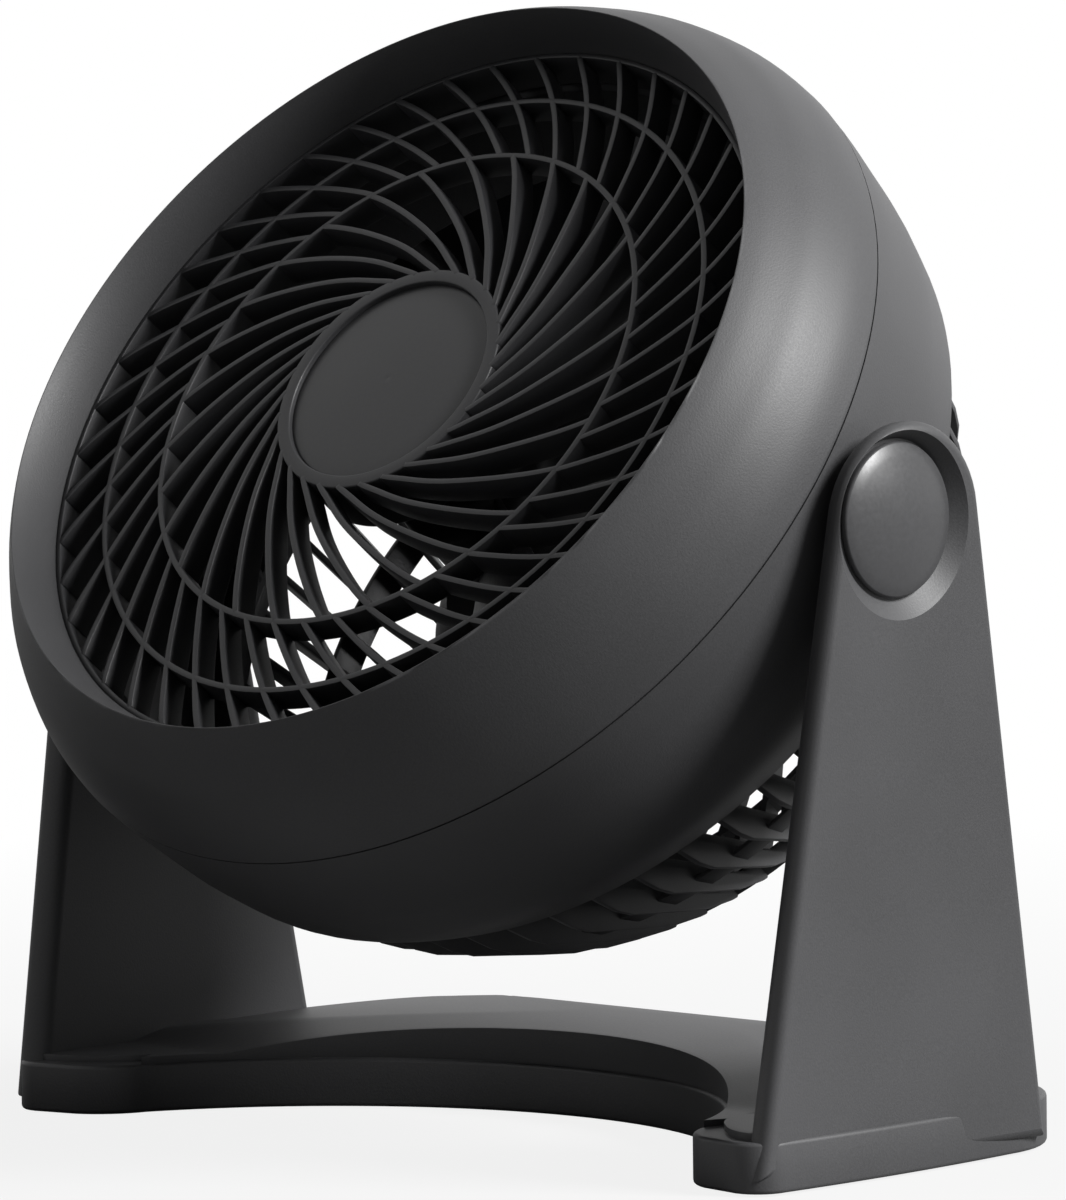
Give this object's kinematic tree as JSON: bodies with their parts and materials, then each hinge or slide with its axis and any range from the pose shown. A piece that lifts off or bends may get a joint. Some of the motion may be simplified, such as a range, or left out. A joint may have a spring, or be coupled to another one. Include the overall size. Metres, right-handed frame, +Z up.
{
  "type": "air circulator fan",
  "caption": "Table air circulator: a round fan head with swept front vanes and a finned back, tilting between two tapered arms on a U-shaped base.",
  "frame": {"origin": "on the table plane, at the middle of the object's bounding box, with the tilt axis straight above it", "axes": "+Z up; the fan blows towards -Y and upwards at rest; +X to the right seen from the front, along the tilt axis"},
  "size_m": [0.2792, 0.2354, 0.2894],
  "materials": {
    "body_plastic": "fine spark-eroded matt, charcoal black",
    "trim_plastic": "smooth satin, charcoal black",
    "impeller_plastic": "smooth matt black",
    "switch_plastic": "matt dark grey",
    "rubber": "soft black rubber",
    "screw_steel": "zinc plated",
    "washer_brass": "plain turned",
    "winding_copper": "enamelled copper wire",
    "motor_iron": "stacked laminations",
    "bracket_aluminium": "die cast",
    "shaft_steel": "ground steel"
  },
  "bodies": {
    "stand": {"stand_shell": "body_plastic", "arm_cover_left": "body_plastic", "arm_cover_right": "body_plastic", "bottom_cover": "body_plastic", "bottom_screws": "screw_steel", "rubber_feet": "rubber", "pivot_sleeves": "washer_brass", "pivot_cap_left": "trim_plastic", "pivot_cap_right": "trim_plastic"},
    "head": {"front_shell": "body_plastic", "rear_shell": "body_plastic", "front_grille": "body_plastic", "hub_badge": "trim_plastic", "rear_grille": "body_plastic", "rear_guard": "body_plastic", "rear_grille_screws": "screw_steel", "shell_screws": "screw_steel", "pivot_bolts": "screw_steel", "pivot_nuts": "screw_steel", "friction_washers": "washer_brass", "motor_cover": "body_plastic", "cover_screws": "screw_steel", "stator_core": "motor_iron", "windings": "winding_copper", "motor_bracket_front": "bracket_aluminium", "motor_bracket_rear": "bracket_aluminium", "motor_bushes": "washer_brass", "motor_screws": "screw_steel", "rotary_switch": "switch_plastic", "cord_inlet": "rubber"},
    "fan": {"impeller": "impeller_plastic", "motor_shaft": "shaft_steel", "rotor_core": "motor_iron", "spinner_nut": "screw_steel"},
    "knob": {"speed_knob": "trim_plastic"}
  },
  "joints": [
    {"name": "head_tilt", "type": "hinge", "parent": "stand", "child": "head", "pos_m": [0, 0, 0.16465], "axis": [-1, 0, 0], "range_deg": [-38.33, 51.67]},
    {"name": "fan_spin", "type": "hinge", "parent": "head", "child": "fan", "pos_m": [0, 0, 0.16465], "axis": [0, -0.7845, 0.6202], "continuous": true},
    {"name": "speed_knob_turn", "type": "hinge", "parent": "head", "child": "knob", "pos_m": [0, 0.0706, 0.10883], "axis": [0, 0.7845, -0.6202], "range_deg": [0, 135]}
  ]
}
